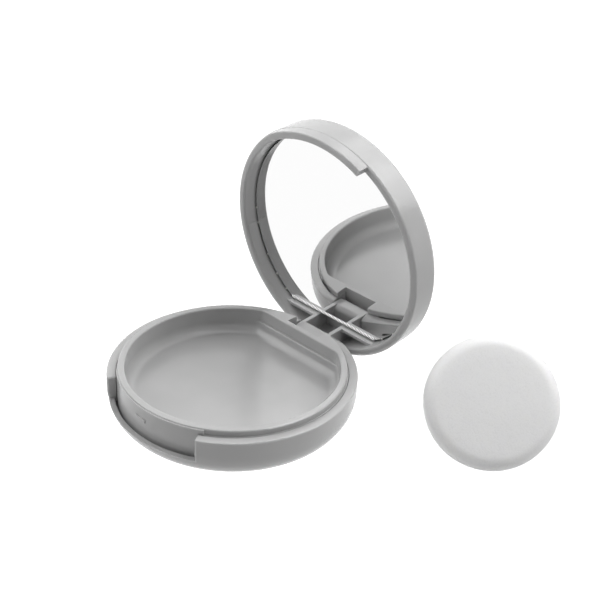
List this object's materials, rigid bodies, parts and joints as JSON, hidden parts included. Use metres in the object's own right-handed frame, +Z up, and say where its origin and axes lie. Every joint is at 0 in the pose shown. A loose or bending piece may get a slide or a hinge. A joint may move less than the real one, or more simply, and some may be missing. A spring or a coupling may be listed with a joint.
{
  "type": "mirrored compact case",
  "caption": "Round moulded compact case standing open: bowl-shaped base with a D-shaped well, hinged lid with a mirror, and a loose round soft pad beside it.",
  "frame": {"origin": "middle of the flat foot, on the surface the case stands on", "axes": "+Z up, +Y towards the hinge, +X to the side the loose pad stands on; -Y is the front with the thumb recess"},
  "size_m": [0.1035, 0.0817, 0.0704],
  "materials": {
    "case_plastic": "satin moulded plastic",
    "mirror": "silvered glass",
    "tape": "white foam tape",
    "glue": "clear hardened glue",
    "pin": "drawn wire",
    "sponge": "soft fine-pored foam"
  },
  "bodies": {
    "case": {"base_shell": "case_plastic", "inner_pan": "case_plastic", "hinge_pin": "pin"},
    "lid": {"lid_shell": "case_plastic", "mirror_glass": "mirror", "mirror_tape": "tape", "mirror_glue_beads": "glue"},
    "pad": {"sponge_pad": "sponge"}
  },
  "joints": [
    {"name": "lid_hinge", "type": "hinge", "parent": "case", "child": "lid", "pos_m": [0, 0.0289, 0.0085], "axis": [1, 0, 0], "range_deg": [0, 84.3]},
    {"name": "pad_lift", "type": "slide", "parent": "case", "child": "pad", "axis": [0, 0, 1], "range_m": [0, 0.03]}
  ]
}
